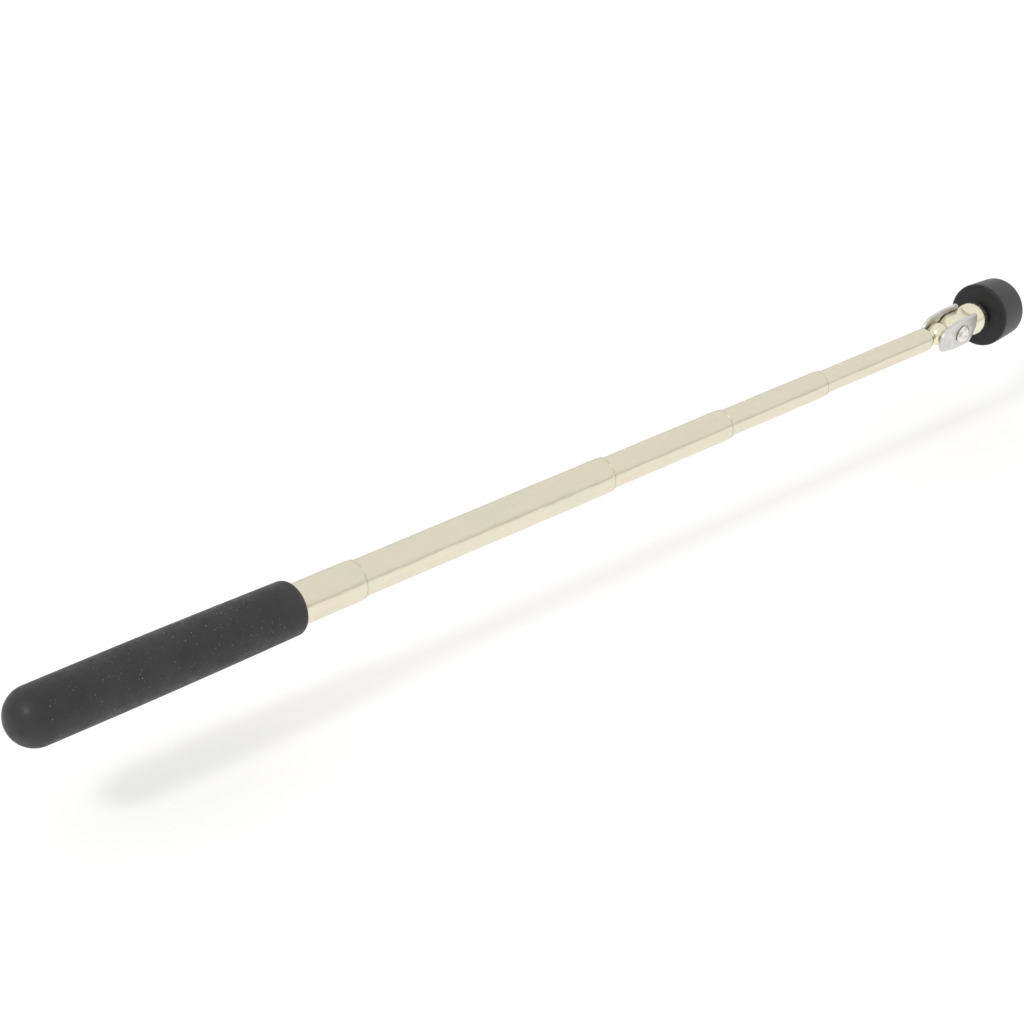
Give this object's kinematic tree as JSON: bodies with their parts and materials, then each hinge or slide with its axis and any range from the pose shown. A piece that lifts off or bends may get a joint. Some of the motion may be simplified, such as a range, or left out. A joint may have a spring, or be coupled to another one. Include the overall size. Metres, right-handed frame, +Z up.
{
  "type": "telescopic magnetic pick-up tool",
  "caption": "Telescopic pick-up tool: black moulded grip, nested plated tubes that draw out, and a magnet head that spins, tilts and folds on a plate link.",
  "frame": {"origin": "middle of the underside of the whole tool's box, as it lies partly drawn out", "axes": "+X along the tool from the butt of the grip to the magnet, +Z up, +Y to the left seen from the grip"},
  "size_m": [0.3778, 0.024, 0.0216],
  "materials": {
    "black_vinyl": "dip-moulded soft vinyl, matt, with fine pores",
    "plated_tube": "bright warm nickel plate, fine draw lines",
    "turned_brass": "as turned",
    "spring_bronze": "rolled strip",
    "yellow_zinc": "yellow zinc plate, glossy",
    "grey_zinc": "grey zinc plate, tumbled",
    "black_plastic": "moulded, satin gloss",
    "magnet_nickel": "bright nickel plate, light scratches"
  },
  "bodies": {
    "handle": {"grip_sleeve": "black_vinyl", "tube_plug": "turned_brass", "tube_1": "plated_tube"},
    "section_2": {"tube_2": "plated_tube", "stop_bush_2": "turned_brass", "friction_spring_2": "spring_bronze"},
    "section_3": {"tube_3": "plated_tube", "stop_bush_3": "turned_brass", "friction_spring_3": "spring_bronze"},
    "section_4": {"tube_4": "plated_tube", "stop_bush_4": "turned_brass", "friction_spring_4": "spring_bronze"},
    "section_5": {"tube_5": "plated_tube", "stop_bush_5": "turned_brass", "friction_spring_5": "spring_bronze", "nose_bush": "turned_brass", "stud_washer": "grey_zinc"},
    "swivel": {"swivel_stud": "yellow_zinc"},
    "link": {"link_plate_front": "grey_zinc", "link_plate_rear": "grey_zinc", "link_rivet": "grey_zinc"},
    "magnet_head": {"magnet_stem": "yellow_zinc", "magnet_shroud": "black_plastic", "magnet_cup": "magnet_nickel", "magnet_ring": "magnet_nickel", "centre_pole": "magnet_nickel"}
  },
  "joints": [
    {"name": "section_2_slide", "type": "slide", "parent": "handle", "child": "section_2", "axis": [1, 0, 0], "range_m": [-0.087, 0.0022]},
    {"name": "section_3_slide", "type": "slide", "parent": "section_2", "child": "section_3", "axis": [1, 0, 0], "range_m": [-0.0432, 0.0373]},
    {"name": "section_4_slide", "type": "slide", "parent": "section_3", "child": "section_4", "axis": [1, 0, 0], "range_m": [-0.0366, 0.0352]},
    {"name": "section_5_slide", "type": "slide", "parent": "section_4", "child": "section_5", "axis": [1, 0, 0], "range_m": [-0.0426, 0.0205]},
    {"name": "head_swivel", "type": "hinge", "parent": "section_5", "child": "swivel", "pos_m": [0.15154, -0.00366, 0.01328], "axis": [1, 0, 0], "continuous": true},
    {"name": "link_tilt", "type": "hinge", "parent": "swivel", "child": "link", "pos_m": [0.15154, -0.00366, 0.01328], "axis": [-0.165, 0.9713, 0.1713], "range_deg": [-68.5, 51.5]},
    {"name": "magnet_tilt", "type": "hinge", "parent": "link", "child": "magnet_head", "pos_m": [0.15934, -0.00217, 0.01235], "axis": [-0.165, 0.9713, 0.1713], "range_deg": [-85, 85]}
  ]
}
